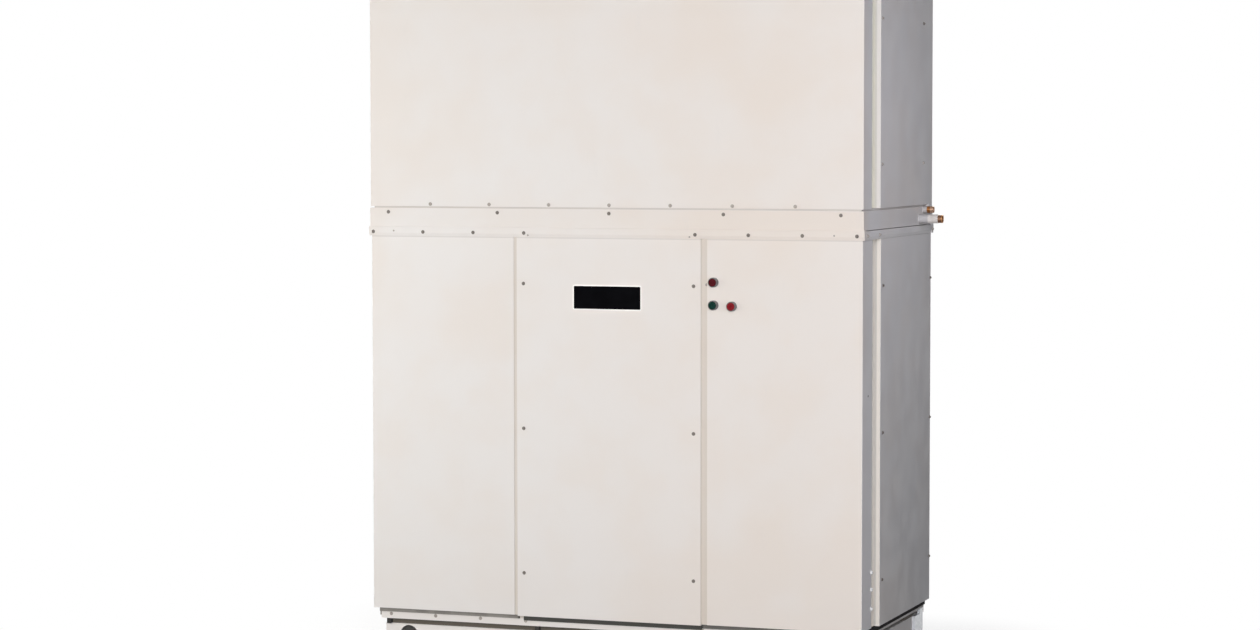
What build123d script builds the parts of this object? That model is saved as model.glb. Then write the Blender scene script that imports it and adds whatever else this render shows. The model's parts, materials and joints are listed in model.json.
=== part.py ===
from build123d import *
import os

# A floor-standing self-contained air conditioning unit: a cabinet of screwed
# lift-off panels on a steel base, with a fan section above a compressor section.
# Millimetres. Origin: centre of the footprint on the floor. +X is the right side
# as seen from the front, +Y the back, +Z up.

# Cabinet plan
cabinet_width = 2180.0
cabinet_depth = 1110.0
panel_thickness = 25.0
upper_step = 3.0
band_step = 5.0
strip_step = 9.0
edge_radius = 2.5

# Heights
rail_height = 119.0
rail_gap = 23.0
base_plate = 3.0
base_skirt = 30.0
panel_gap = 18.0
lower_panel_height = 1605.5
strip_height = 40.0
band_height = 78.0
seam_gap = 8.0
upper_panel_height = 972.0
roof_thickness = 24.0
collar_height = 50.0

# Steel base
skirt_inset = 25.0
base_rear_inset = 3.0
rail_inset = 40.0
rail_web = 4.0
rail_flange = 45.0
centre_rail_width = 90.0
cross_beam_setback = 10.0
cross_beam_width = 130.0
rear_beam_from_back = 150.0
foot_length = 137.0
foot_neck_length = 50.0
lift_hole_radius = 41.0
lift_hole_level = 73.0
lift_hole_from_end = 107.0

# Dark seals under the lower panels
seal_thickness = 6.0
side_seal_drop = 17.0
middle_seal_drop = 7.0
middle_seal_gap = 2.0
middle_seal_from_seam = 20.0

# Front panels
left_panel_width = 654.0
left_seam = 14.0
middle_panel_width = 818.5
right_recess = 28.0
middle_panel_drop = 4.0
side_panel_drop = 10.0
left_seam_recess = 4.0
right_recess_depth = 8.0
mullion_width = 90.0
mullion_depth = 30.0
mullion_clearance = 0.3
rear_seam = 4.0

# Recess in each side behind the front corner
corner_return = 147.0
upper_corner_return = 124.0
side_recess_length = 129.0
upper_side_recess_length = 136.0
side_recess_depth = 42.0
post_width = 80.0
post_wall = 4.0
jamb_setback = 3.0
jamb_length = 52.0
rear_post_flange = 60.0

# Joint between the two sections
strip_depth = 34.0
strip_chamfer = 4.0
strip_taper_height = 13.0
strip_top_chamfer = 2.0
side_strip_gap = 3.0
band_wall = 60.0
lip_setback = 12.0
lip_wall = 12.0
rear_corner_width = 56.0

# Return air filters at the back of the fan section
rack_depth = 60.0
rack_bar = 40.0
filter_columns = 4
filter_rows = 2
filter_clearance = 0.3
filter_depth = 48.0
filter_frame = 18.0
pleat_count = 16
pleat_depth = 36.0
media_thickness = 3.0

# Fans under the roof
fan_spacing = 960.0
fan_width = 400.0
wheel_width = 360.0
wheel_radius = 230.0
blade_count = 36
blade_depth = 40.0
blade_thickness = 2.0
blade_lean = 30.0
wheel_plate = 4.0
hub_radius = 45.0
hub_length = 70.0
shaft_radius = 20.0
shaft_overhang = 90.0
running_gap = 0.3
scroll_small_radius = 285.0
scroll_growth = 40.0
scroll_shift = 20.0
scroll_sheet = 3.0
outlet_depth = 500.0
outlet_centre_y = 40.0
outlet_rise = 450.0
inlet_radius = 200.0
bearing_bar = 50.0
bearing_bar_thickness = 8.0
collar_sheet = 3.0
collar_flange = 28.0

# Pilot lights on the control cover
low_light_from_top = 277.0
green_light_from_top = 273.5
high_light_from_top = 179.0
light_from_seam = 29.5
light_pitch = 79.5
bezel_radius = 20.0
bezel_height = 22.0
bezel_chamfer = 2.0
lens_radius = 16.5
lens_height = 5.0
lens_round = 4.0

# Pipe stubs on the right side
water_pipe_from_back = 227.0
water_pipe_level = 1862.0
water_pipe_radius = 17.5
water_pipe_length = 105.0
sleeve_radius = 19.0
sleeve_length = 86.0
sleeve_clearance = 0.3
sleeve_neck = 0.5
drain_pipe_from_back = 159.0
drain_pipe_level = 1900.0
drain_pipe_radius = 14.3
drain_pipe_length = 48.0
pipe_wall = 1.6

# Levels and plan lines that follow from these
half_width = cabinet_width / 2
half_depth = cabinet_depth / 2
skirt_bottom = rail_height + rail_gap
post_foot = skirt_bottom + base_skirt
lower_bottom = post_foot + panel_gap
strip_bottom = lower_bottom + lower_panel_height
band_bottom = strip_bottom + strip_height
band_top = band_bottom + band_height
upper_bottom = band_top + seam_gap
roof_bottom = upper_bottom + upper_panel_height
roof_top = roof_bottom + roof_thickness
upper_half_width = half_width + upper_step
upper_half_depth = half_depth + upper_step
left_seam_x = -half_width + left_panel_width
middle_left_x = left_seam_x + left_seam
middle_right_x = middle_left_x + middle_panel_width
right_panel_x = middle_right_x + right_recess

os.makedirs("parts", exist_ok=True)


def save(part, name):
    part.label = name
    export_step(part, f"parts/{name}.step")


def box_from(low, high):
    """A block between two corners, in the part that is being built."""
    with Locations(low):
        Box(high[0] - low[0], high[1] - low[1], high[2] - low[2], align=Align.MIN)


# Base: channel rails that carry a folded plate on cross beams. The plate's skirt
# overhangs the rails at the front and the sides, and stands on the rail at the rear.
rail_half_x = half_width - rail_inset
rail_front_y = -half_depth + rail_inset
rail_rear_y = half_depth - base_rear_inset
lift_hole_x = rail_half_x - lift_hole_from_end

# Section of a channel rail with its web on the local Y axis
channel_outline = (
    (0, 0), (rail_flange, 0), (rail_flange, rail_web), (rail_web, rail_web),
    (rail_web, rail_height - rail_web), (rail_flange, rail_height - rail_web),
    (rail_flange, rail_height), (0, rail_height),
)

for name, side, web_y in (("front", -1, rail_front_y), ("rear", 1, rail_rear_y)):
    web_plane = Plane(origin=(0, web_y, 0), x_dir=(0, -side, 0), z_dir=(-side, 0, 0))
    with BuildPart() as end_rail:
        with BuildSketch(web_plane):
            with BuildLine():
                Polyline(channel_outline, close=True)
            make_face()
        extrude(amount=rail_half_x, both=True)
        hole_plane = Plane(origin=(0, web_y, lift_hole_level), x_dir=(1, 0, 0), z_dir=(0, side, 0))
        with BuildSketch(hole_plane):
            with Locations((-lift_hole_x, 0), (lift_hole_x, 0)):
                Circle(lift_hole_radius)
        extrude(amount=-rail_web, mode=Mode.SUBTRACT)
    save(end_rail.part, f"base_rail_{name}")

side_rail_front = rail_front_y + rail_flange
side_rail_rear = rail_rear_y - rail_flange
for name, side in (("left", -1), ("right", 1)):
    web_plane = Plane(origin=(side * rail_half_x, side_rail_front, 0), x_dir=(-side, 0, 0), z_dir=(0, side, 0))
    with BuildPart() as side_rail:
        with BuildSketch(web_plane):
            with BuildLine():
                Polyline(channel_outline, close=True)
            make_face()
        extrude(amount=side * (side_rail_rear - side_rail_front))
    save(side_rail.part, f"base_rail_{name}")

# The centre rail is one welded piece with the two cross beams on it
plate_underside = post_foot - base_plate
front_beam_y = rail_front_y + cross_beam_setback
rear_beam_y = half_depth - rear_beam_from_back
with BuildPart() as centre_rail:
    box_from((-centre_rail_width / 2, side_rail_front, 0), (centre_rail_width / 2, side_rail_rear, rail_web))
    box_from((-rail_web / 2, side_rail_front, 0), (rail_web / 2, side_rail_rear, rail_height))
    box_from(
        (-centre_rail_width / 2, side_rail_front, rail_height - rail_web),
        (centre_rail_width / 2, side_rail_rear, rail_height),
    )
    for beam_front, beam_rear in (
        (front_beam_y, front_beam_y + cross_beam_width), (rear_beam_y - cross_beam_width, rear_beam_y),
    ):
        box_from((-rail_half_x, beam_front, rail_height), (rail_half_x, beam_rear, plate_underside))
save(centre_rail.part, "base_rail_centre")

skirt_half_x = half_width - skirt_inset
skirt_front_y = -half_depth + skirt_inset
with BuildPart() as base_tray:
    box_from((-skirt_half_x, skirt_front_y, skirt_bottom), (skirt_half_x, rail_rear_y, post_foot))
    offset(amount=-base_plate, openings=base_tray.faces().sort_by(Axis.Z)[0])
    box_from((-skirt_half_x, rail_rear_y - base_plate, rail_height), (skirt_half_x, rail_rear_y, skirt_bottom))
save(base_tray.part, "base_plate")

# A plate at each rear corner fills the space between rail and skirt, with a neck up to the plate
with BuildPart() as rear_feet:
    for side in (-1, 1):
        low_x, high_x = sorted((side * rail_half_x, side * (skirt_half_x - base_plate)))
        foot_rear = rail_rear_y - base_plate
        box_from((low_x, foot_rear - foot_length, 0), (high_x, foot_rear, rail_height))
        box_from((low_x, foot_rear - foot_neck_length, rail_height), (high_x, foot_rear, plate_underside))
save(rear_feet.part, "rear_feet")

# Seals hang in the gaps under the lower panels. The middle and side ones lap over the skirt.
seal_x = skirt_half_x + seal_thickness
seal_front_y = skirt_front_y - seal_thickness
seal_rear_y = rail_rear_y - seal_thickness
side_seal_top = lower_bottom - side_panel_drop
with BuildPart() as seals:
    for low_x, high_x in ((-seal_x, middle_left_x), (middle_right_x, seal_x)):
        box_from((low_x, seal_front_y, post_foot), (high_x, skirt_front_y, lower_bottom))
    box_from(
        (middle_left_x + middle_seal_from_seam, seal_front_y, post_foot - middle_seal_drop),
        (middle_right_x - middle_seal_gap, skirt_front_y, lower_bottom - middle_panel_drop),
    )
    for side in (-1, 1):
        low_x, high_x = sorted((side * skirt_half_x, side * seal_x))
        box_from((low_x, skirt_front_y, post_foot - side_seal_drop), (high_x, rail_rear_y, side_seal_top))
    box_from((-skirt_half_x, seal_rear_y, post_foot), (skirt_half_x, rail_rear_y, lower_bottom))
save(seals.part, "lower_panel_seals")


# Corner posts. The front ones form the floor and the rear jamb of the side recess.
def front_post_outline(side, half_x, half_y, return_length, recess_length):
    """A front corner post in plan, hollowed on its outer side where the side recess runs."""
    outer = half_x - panel_thickness
    floor = half_x - side_recess_depth
    inner = outer - post_width
    front = -half_y + panel_thickness
    recess_front = -half_y + return_length
    recess_rear = recess_front + recess_length + jamb_setback
    back = recess_rear + jamb_length
    points = (
        (inner, front), (outer, front), (outer, recess_front - jamb_setback), (floor, recess_front - jamb_setback),
        (floor, recess_rear), (outer, recess_rear), (outer, back), (inner, back),
    )
    return [(side * x, y) for x, y in points]


post_sets = (
    ("lower", post_foot, band_bottom, (half_width, half_depth, corner_return, side_recess_length)),
    (
        "upper", band_top, roof_bottom,
        (upper_half_width, upper_half_depth, upper_corner_return, upper_side_recess_length),
    ),
)
for level, foot_z, head_z, plan_sizes in post_sets:
    with BuildPart() as front_posts:
        for side in (-1, 1):
            with BuildSketch(Plane.XY.offset(foot_z)):
                with BuildLine():
                    Polyline(front_post_outline(side, *plan_sizes), close=True)
                make_face()
        extrude(amount=head_z - foot_z)
    save(front_posts.part, f"{level}_front_posts")

with BuildPart() as rear_posts:
    with BuildSketch(Plane.XY.offset(post_foot)):
        for side in (-1, 1):
            corner_x = side * (half_width - panel_thickness)
            corner_y = half_depth - panel_thickness
            with BuildLine():
                Polyline(
                    (corner_x, corner_y), (corner_x - side * rear_post_flange, corner_y),
                    (corner_x - side * rear_post_flange, corner_y - post_wall),
                    (corner_x - side * post_wall, corner_y - post_wall),
                    (corner_x - side * post_wall, corner_y - rear_post_flange), (corner_x, corner_y - rear_post_flange),
                    close=True,
                )
            make_face()
    extrude(amount=band_bottom - post_foot)
save(rear_posts.part, "lower_rear_posts")


# Lower front: two outer covers that wrap round the corners, and a middle panel
def wrapped_outline(side, seam_x):
    """An outer front cover in plan, from its seam round the corner to the side recess."""
    corner = side * half_width
    inner = side * (half_width - panel_thickness)
    recess = -half_depth + corner_return
    return (
        (seam_x, -half_depth), (corner, -half_depth), (corner, recess), (inner, recess),
        (inner, -half_depth + panel_thickness), (seam_x, -half_depth + panel_thickness),
    )


for name, side, seam_x in (("front_panel_left", -1, left_seam_x), ("control_cover", 1, right_panel_x)):
    with BuildPart() as cover:
        with BuildSketch(Plane.XY.offset(lower_bottom)):
            with BuildLine():
                Polyline(wrapped_outline(side, seam_x), close=True)
            make_face()
        extrude(amount=lower_panel_height)
        corner_edge = cover.edges().filter_by(Axis.Z).sort_by(lambda edge: side * edge.center().X - edge.center().Y)
        fillet(corner_edge[-1], radius=edge_radius)
    save(cover.part, name)

with BuildPart() as middle_panel:
    box_from(
        (middle_left_x, -half_depth, lower_bottom - middle_panel_drop),
        (middle_right_x, -half_depth + panel_thickness, strip_bottom),
    )
save(middle_panel.part, "front_panel_middle")


# Mullions behind the two front joints, each with a rib that is the joint's floor
def mullion(low_x, high_x, recess, name):
    centre_x = (low_x + high_x) / 2
    back_y = -half_depth + panel_thickness
    with BuildPart() as bar:
        box_from(
            (centre_x - mullion_width / 2, back_y, post_foot),
            (centre_x + mullion_width / 2, back_y + mullion_depth, band_bottom),
        )
        box_from(
            (low_x + mullion_clearance, -half_depth + recess, lower_bottom),
            (high_x - mullion_clearance, back_y, strip_bottom),
        )
    save(bar.part, name)


mullion(left_seam_x, middle_left_x, left_seam_recess, "front_mullion_left")
mullion(middle_right_x, right_panel_x, right_recess_depth, "front_mullion_right")

# Lower sides and back
side_panel_front = -half_depth + corner_return + side_recess_length
for name, side in (("left", -1), ("right", 1)):
    with BuildPart() as side_panel:
        low_x, high_x = sorted((side * (half_width - panel_thickness), side * half_width))
        box_from((low_x, side_panel_front, side_seal_top), (high_x, half_depth, strip_bottom))
        upright_edges = side_panel.edges().filter_by(Axis.Z)
        fillet(upright_edges.group_by(lambda edge: side * edge.center().X)[-1], radius=edge_radius)
    save(side_panel.part, f"lower_side_panel_{name}")

rear_panel_half = half_width - panel_thickness
for name, low_x, high_x in (("left", -rear_panel_half, -rear_seam / 2), ("right", rear_seam / 2, rear_panel_half)):
    with BuildPart() as rear_panel:
        box_from((low_x, half_depth - panel_thickness, lower_bottom), (high_x, half_depth, strip_bottom))
    save(rear_panel.part, f"lower_rear_panel_{name}")


# Retaining strip over the tops of the lower panels, one bar on each side. The side bars
# stop a little below the band.
def strip_outline(height):
    """A bar's section, from its outer face inwards and from its underside up."""
    return (
        (strip_depth, 0), (strip_chamfer, 0), (0, strip_taper_height), (0, height - strip_top_chamfer),
        (strip_top_chamfer, height), (strip_depth, height),
    )


strip_half_x = half_width + strip_step
strip_half_y = half_depth + strip_step
for name, side in (("front", -1), ("rear", 1)):
    outer = Plane(origin=(0, side * strip_half_y, strip_bottom), x_dir=(0, -side, 0), z_dir=(-side, 0, 0))
    with BuildPart() as strip:
        with BuildSketch(outer):
            with BuildLine():
                Polyline(strip_outline(strip_height), close=True)
            make_face()
        extrude(amount=strip_half_x, both=True)
    save(strip.part, f"panel_strip_{name}")

strip_side_half = strip_half_y - strip_depth
for name, side in (("left", -1), ("right", 1)):
    outer = Plane(origin=(side * strip_half_x, 0, strip_bottom), x_dir=(-side, 0, 0), z_dir=(0, side, 0))
    with BuildPart() as strip:
        with BuildSketch(outer):
            with BuildLine():
                Polyline(strip_outline(strip_height - side_strip_gap), close=True)
            make_face()
        extrude(amount=strip_side_half, both=True)
    save(strip.part, f"panel_strip_{name}")

# Band between the sections, with a lip behind the joint under the fan section
rear_corner_y = upper_half_depth - rear_corner_width
lip_half_x = upper_half_width - lip_setback
lip_front_y = -upper_half_depth + lip_setback
with BuildPart() as band:
    with BuildSketch(Plane.XY.offset(band_bottom)):
        Rectangle(2 * (half_width + band_step), 2 * (half_depth + band_step))
        Rectangle(
            2 * (half_width + band_step - band_wall), 2 * (half_depth + band_step - band_wall), mode=Mode.SUBTRACT
        )
    extrude(amount=band_height)
    box_from((-lip_half_x, lip_front_y, band_top), (lip_half_x, lip_front_y + lip_wall, upper_bottom))
    for side in (-1, 1):
        low_x, high_x = sorted((side * (lip_half_x - lip_wall), side * lip_half_x))
        box_from((low_x, lip_front_y, band_top), (high_x, rear_corner_y, upper_bottom))
save(band.part, "section_band")

# Fan section front, wrapped round both corners
with BuildPart() as upper_front:
    recess = -upper_half_depth + upper_corner_return
    inner_x = upper_half_width - panel_thickness
    inner_y = -upper_half_depth + panel_thickness
    with BuildSketch(Plane.XY.offset(upper_bottom)):
        with BuildLine():
            Polyline(
                (-upper_half_width, -upper_half_depth), (upper_half_width, -upper_half_depth),
                (upper_half_width, recess), (inner_x, recess), (inner_x, inner_y),
                (-inner_x, inner_y), (-inner_x, recess), (-upper_half_width, recess), close=True,
            )
        make_face()
    extrude(amount=upper_panel_height)
    fillet(upper_front.edges().filter_by(Axis.Z).group_by(Axis.Y)[0], radius=edge_radius)
save(upper_front.part, "upper_front_panel")

# Fan section sides and rear corners
upper_side_front = -upper_half_depth + upper_corner_return + upper_side_recess_length
for name, side in (("left", -1), ("right", 1)):
    with BuildPart() as upper_side:
        low_x, high_x = sorted((side * (upper_half_width - panel_thickness), side * upper_half_width))
        box_from((low_x, upper_side_front, upper_bottom), (high_x, rear_corner_y, roof_bottom))
    save(upper_side.part, f"upper_side_panel_{name}")

with BuildPart() as rear_corners:
    for side in (-1, 1):
        face_x = side * upper_half_width
        inner_x = side * (upper_half_width - panel_thickness)
        inner_y = upper_half_depth - panel_thickness
        end_x = side * (upper_half_width - rear_corner_width)
        with BuildSketch(Plane.XY.offset(band_top)):
            with BuildLine():
                Polyline(
                    (face_x, upper_half_depth), (face_x, rear_corner_y), (inner_x, rear_corner_y),
                    (inner_x, inner_y), (end_x, inner_y), (end_x, upper_half_depth), close=True,
                )
            make_face()
    extrude(amount=roof_bottom - band_top)
save(rear_corners.part, "upper_rear_corners")

# Filter rack across the back of the fan section
rack_half = upper_half_width - rear_corner_width
rack_front = upper_half_depth - rack_depth
bay_width = (2 * rack_half - rack_bar * (filter_columns + 1)) / filter_columns
bay_height = (roof_bottom - band_top - rack_bar * (filter_rows + 1)) / filter_rows
rack_plane = Plane(origin=(0, rack_front, (band_top + roof_bottom) / 2), x_dir=(1, 0, 0), z_dir=(0, -1, 0))
with BuildPart() as rack:
    with BuildSketch(rack_plane):
        Rectangle(2 * rack_half, roof_bottom - band_top)
        with GridLocations(bay_width + rack_bar, bay_height + rack_bar, filter_columns, filter_rows):
            Rectangle(bay_width, bay_height, mode=Mode.SUBTRACT)
    extrude(amount=-rack_depth)
save(rack.part, "filter_rack")

# Pleated filters, one in each bay: a frame round a zigzag of media
filter_width = bay_width - 2 * filter_clearance
filter_height = bay_height - 2 * filter_clearance
media_width = filter_width - 2 * filter_frame
pleat_pitch = media_width / pleat_count
pleat_front = -pleat_depth / 2
pleat_rear = pleat_depth / 2


def zigzag_outline():
    """The pleats in plan: a run of media out and back, as thick as the media."""
    run = [
        (-media_width / 2 + step * pleat_pitch / 2, (pleat_front, pleat_rear)[step % 2])
        for step in range(2 * pleat_count + 1)
    ]
    return run + [(x, y + media_thickness) for x, y in reversed(run)]


with BuildPart() as filter_cell:
    with BuildSketch(Plane.XY.offset(-filter_height / 2)):
        Rectangle(filter_width, filter_depth)
        Rectangle(media_width, filter_depth, mode=Mode.SUBTRACT)
        with BuildLine():
            Polyline(zigzag_outline(), close=True)
        make_face()
    extrude(amount=filter_height)
    for end in (-1, 1):
        with Locations((0, 0, end * (filter_height - filter_frame) / 2)):
            Box(filter_width, filter_depth, filter_frame)

filter_y = upper_half_depth - rack_depth / 2
bay_columns = [(column - (filter_columns - 1) / 2) * (bay_width + rack_bar) for column in range(filter_columns)]
bay_levels = [(row - (filter_rows - 1) / 2) * (bay_height + rack_bar) for row in range(filter_rows)]
with BuildPart() as filters:
    with Locations([(x, filter_y, (band_top + roof_bottom) / 2 + z) for x in bay_columns for z in bay_levels]):
        add(filter_cell.part)
save(filters.part, "air_filters")

# Roof with two discharge openings, each with a duct collar
roof_half_x = half_width + band_step
roof_half_y = half_depth + band_step
with BuildPart() as roof:
    with BuildSketch(Plane.XY.offset(roof_bottom)):
        Rectangle(2 * roof_half_x, 2 * roof_half_y)
        with Locations((-fan_spacing / 2, outlet_centre_y), (fan_spacing / 2, outlet_centre_y)):
            Rectangle(fan_width, outlet_depth, mode=Mode.SUBTRACT)
    extrude(amount=roof_thickness)
save(roof.part, "roof_panel")


def scroll_corners(sheet):
    """Named points of the fan housing's side outline round its axis, drawn in by a sheet's thickness."""
    small = scroll_small_radius - sheet
    large = small + scroll_growth
    tip_y = outlet_rear_from_axis - sheet
    tip_z = (small ** 2 - (tip_y + scroll_shift) ** 2) ** 0.5
    wrap = large * 0.5 ** 0.5
    return {
        "tip": (tip_y, tip_z),
        "rear": (small - scroll_shift, 0),
        "bottom": (-scroll_shift, -small),
        "front_low": (-scroll_shift - wrap, scroll_growth - wrap),
        "front": (-scroll_shift - large, scroll_growth),
        "front_top": (-scroll_shift - large, outlet_rise),
        "rear_top": (tip_y, outlet_rise),
    }


# The outlet's front wall is the straight run of the scroll, so the axis lies behind it
fan_axis_y = outlet_centre_y - outlet_depth / 2 + scroll_shift + scroll_small_radius + scroll_growth - scroll_sheet
fan_axis_z = roof_bottom - outlet_rise
outlet_rear_from_axis = outlet_centre_y + outlet_depth / 2 + scroll_sheet - fan_axis_y

for name, centre_x in (("left", -fan_spacing / 2), ("right", fan_spacing / 2)):
    with BuildPart() as collar:
        with BuildSketch(Plane.XY.offset(roof_top)):
            with Locations((centre_x, outlet_centre_y)):
                Rectangle(fan_width + 2 * collar_flange, outlet_depth + 2 * collar_flange)
                Rectangle(fan_width, outlet_depth, mode=Mode.SUBTRACT)
        extrude(amount=collar_sheet)
        with BuildSketch(Plane.XY.offset(roof_top)):
            with Locations((centre_x, outlet_centre_y)):
                Rectangle(fan_width + 2 * collar_sheet, outlet_depth + 2 * collar_sheet)
                Rectangle(fan_width, outlet_depth, mode=Mode.SUBTRACT)
        extrude(amount=collar_height)
    save(collar.part, f"duct_collar_{name}")

    side_plane = Plane(origin=(centre_x, fan_axis_y, fan_axis_z), x_dir=(0, 1, 0), z_dir=(1, 0, 0))
    with BuildPart() as housing:
        for sheet, half_length, mode in (
            (0, fan_width / 2 + scroll_sheet, Mode.ADD),
            (scroll_sheet, fan_width / 2, Mode.SUBTRACT),
        ):
            corner = scroll_corners(sheet)
            with BuildSketch(side_plane):
                with BuildLine():
                    ThreePointArc(corner["tip"], corner["rear"], corner["bottom"])
                    ThreePointArc(corner["bottom"], corner["front_low"], corner["front"])
                    Polyline(corner["front"], corner["front_top"], corner["rear_top"], corner["tip"])
                make_face()
            extrude(amount=half_length, both=True, mode=mode)
        with BuildSketch(side_plane):
            Circle(inlet_radius)
        extrude(amount=fan_width, both=True, mode=Mode.SUBTRACT)
        for end in (-1, 1):
            with BuildSketch(side_plane.offset(end * (fan_width + 2 * scroll_sheet - bearing_bar_thickness) / 2)):
                Rectangle(2 * (inlet_radius + scroll_sheet), bearing_bar)
                Circle(bearing_bar)
                Circle(shaft_radius + running_gap, mode=Mode.SUBTRACT)
            extrude(amount=bearing_bar_thickness / 2, both=True)
    save(housing.part, f"fan_housing_{name}")

    with BuildPart() as wheel:
        with BuildSketch(side_plane):
            Circle(wheel_radius)
        extrude(amount=wheel_plate / 2, both=True)
        with BuildSketch(side_plane):
            Circle(hub_radius)
        extrude(amount=hub_length / 2, both=True)
        for end in (-1, 1):
            with BuildSketch(side_plane.offset(end * (wheel_width - wheel_plate) / 2)):
                Circle(wheel_radius)
                Circle(wheel_radius - blade_depth, mode=Mode.SUBTRACT)
            extrude(amount=wheel_plate / 2, both=True)
        with BuildSketch(side_plane):
            with PolarLocations(wheel_radius - blade_depth / 2, blade_count):
                Rectangle(blade_depth, blade_thickness, rotation=blade_lean)
        extrude(amount=wheel_width / 2, both=True)
        with BuildSketch(side_plane):
            Circle(shaft_radius + running_gap)
        extrude(amount=wheel_width, both=True, mode=Mode.SUBTRACT)
    save(wheel.part, f"fan_wheel_{name}")

shaft_length = fan_spacing + fan_width + 2 * shaft_overhang
with BuildPart() as shaft:
    with BuildSketch(Plane(origin=(0, fan_axis_y, fan_axis_z), x_dir=(0, 1, 0), z_dir=(1, 0, 0))):
        Circle(shaft_radius)
    extrude(amount=shaft_length / 2, both=True)
save(shaft.part, "fan_shaft")

# Pilot lights
light_x = right_panel_x + light_from_seam
light_places = (
    ("red_upper", light_x, strip_bottom - high_light_from_top),
    ("green", light_x, strip_bottom - green_light_from_top),
    ("red_lower", light_x + light_pitch, strip_bottom - low_light_from_top),
)
with BuildPart() as bezels:
    for name, place_x, level in light_places:
        with BuildSketch(Plane(origin=(place_x, -half_depth, level), x_dir=(1, 0, 0), z_dir=(0, -1, 0))):
            Circle(bezel_radius)
        extrude(amount=bezel_height)
    chamfer(bezels.faces().sort_by(Axis.Y)[0:3].edges(), length=bezel_chamfer)
save(bezels.part, "pilot_light_bezels")

for name, place_x, level in light_places:
    with BuildPart() as lens:
        face_y = -half_depth - bezel_height
        with BuildSketch(Plane(origin=(place_x, face_y, level), x_dir=(1, 0, 0), z_dir=(0, -1, 0))):
            Circle(lens_radius)
        extrude(amount=lens_height)
        fillet(lens.faces().sort_by(Axis.Y)[0].edges(), radius=lens_round)
    save(lens.part, f"pilot_lens_{name}")

# Pipe stubs, open at their ends. The water pipe is drawn down a little inside its sleeve.
water_pipe_bore = water_pipe_radius - sleeve_neck - pipe_wall
drain_pipe_bore = drain_pipe_radius - pipe_wall
pipe_start = half_width + band_step
water_plane = Plane(
    origin=(pipe_start, half_depth - water_pipe_from_back, water_pipe_level), x_dir=(0, 1, 0), z_dir=(1, 0, 0)
)
drain_plane = Plane(
    origin=(pipe_start, half_depth - drain_pipe_from_back, drain_pipe_level), x_dir=(0, 1, 0), z_dir=(1, 0, 0)
)

with BuildPart() as water_pipe:
    with BuildSketch(water_plane):
        Circle(water_pipe_radius - sleeve_neck)
    extrude(amount=sleeve_length)
    with BuildSketch(water_plane.offset(sleeve_length)):
        Circle(water_pipe_radius)
    extrude(amount=water_pipe_length - sleeve_length)
    with BuildSketch(water_plane):
        Circle(water_pipe_bore)
    extrude(amount=water_pipe_length, mode=Mode.SUBTRACT)
save(water_pipe.part, "water_pipe_stub")

with BuildPart() as sleeve:
    with BuildSketch(water_plane):
        Circle(sleeve_radius)
        Circle(water_pipe_radius - sleeve_neck + sleeve_clearance, mode=Mode.SUBTRACT)
    extrude(amount=sleeve_length)
save(sleeve.part, "water_pipe_sleeve")

with BuildPart() as drain_pipe:
    with BuildSketch(drain_plane):
        Circle(drain_pipe_radius)
        Circle(drain_pipe_bore, mode=Mode.SUBTRACT)
    extrude(amount=drain_pipe_length)
save(drain_pipe.part, "drain_pipe_stub")
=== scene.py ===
import json
import math

import bmesh
import bpy
from mathutils import Matrix, Vector


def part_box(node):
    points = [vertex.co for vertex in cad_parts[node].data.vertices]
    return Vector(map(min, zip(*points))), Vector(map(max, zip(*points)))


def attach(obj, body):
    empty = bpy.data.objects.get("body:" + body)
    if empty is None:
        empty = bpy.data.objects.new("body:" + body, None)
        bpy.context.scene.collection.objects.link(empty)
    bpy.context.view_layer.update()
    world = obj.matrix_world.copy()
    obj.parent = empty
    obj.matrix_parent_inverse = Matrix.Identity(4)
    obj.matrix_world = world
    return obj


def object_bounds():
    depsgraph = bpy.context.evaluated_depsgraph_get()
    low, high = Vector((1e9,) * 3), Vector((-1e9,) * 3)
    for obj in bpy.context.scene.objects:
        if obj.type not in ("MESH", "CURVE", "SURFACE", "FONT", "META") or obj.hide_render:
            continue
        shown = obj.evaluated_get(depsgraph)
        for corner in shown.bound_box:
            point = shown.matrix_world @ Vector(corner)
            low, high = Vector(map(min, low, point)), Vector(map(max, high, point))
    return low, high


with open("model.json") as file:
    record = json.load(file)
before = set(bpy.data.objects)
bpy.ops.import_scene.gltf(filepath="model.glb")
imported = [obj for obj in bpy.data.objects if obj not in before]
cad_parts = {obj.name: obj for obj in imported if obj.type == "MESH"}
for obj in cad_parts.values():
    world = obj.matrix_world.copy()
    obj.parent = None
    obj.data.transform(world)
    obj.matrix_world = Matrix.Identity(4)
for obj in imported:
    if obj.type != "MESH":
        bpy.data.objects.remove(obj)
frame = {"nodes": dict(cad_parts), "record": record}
cad_low, cad_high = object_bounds()

# Metres, in the part's own frame: +X right, +Y back, +Z up, floor at Z 0

# Face planes, levels and ends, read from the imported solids
lower_face_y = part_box("front_panel_left")[0].y
upper_face_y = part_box("upper_front_panel")[0].y
band_face_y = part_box("section_band")[0].y
strip_face_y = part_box("panel_strip_front")[0].y
skirt_face_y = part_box("base_plate")[0].y
joint_face_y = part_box("front_mullion_right")[0].y
rear_face_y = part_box("lower_rear_panel_left")[1].y
band_rear_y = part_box("section_band")[1].y
strip_rear_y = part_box("panel_strip_rear")[1].y
skirt_rear_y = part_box("base_plate")[1].y
lower_side_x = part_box("lower_side_panel_right")[1].x
upper_side_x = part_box("upper_side_panel_right")[1].x
strip_side_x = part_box("panel_strip_right")[1].x
skirt_side_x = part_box("base_plate")[1].x
rail_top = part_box("base_rail_front")[1].z
skirt_height = 0.030
skirt_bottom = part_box("base_plate")[1].z - skirt_height
strip_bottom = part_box("panel_strip_front")[0].z
band_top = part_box("upper_rear_corners")[0].z
roof_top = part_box("roof_panel")[1].z
collar_flange = 0.003
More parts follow.
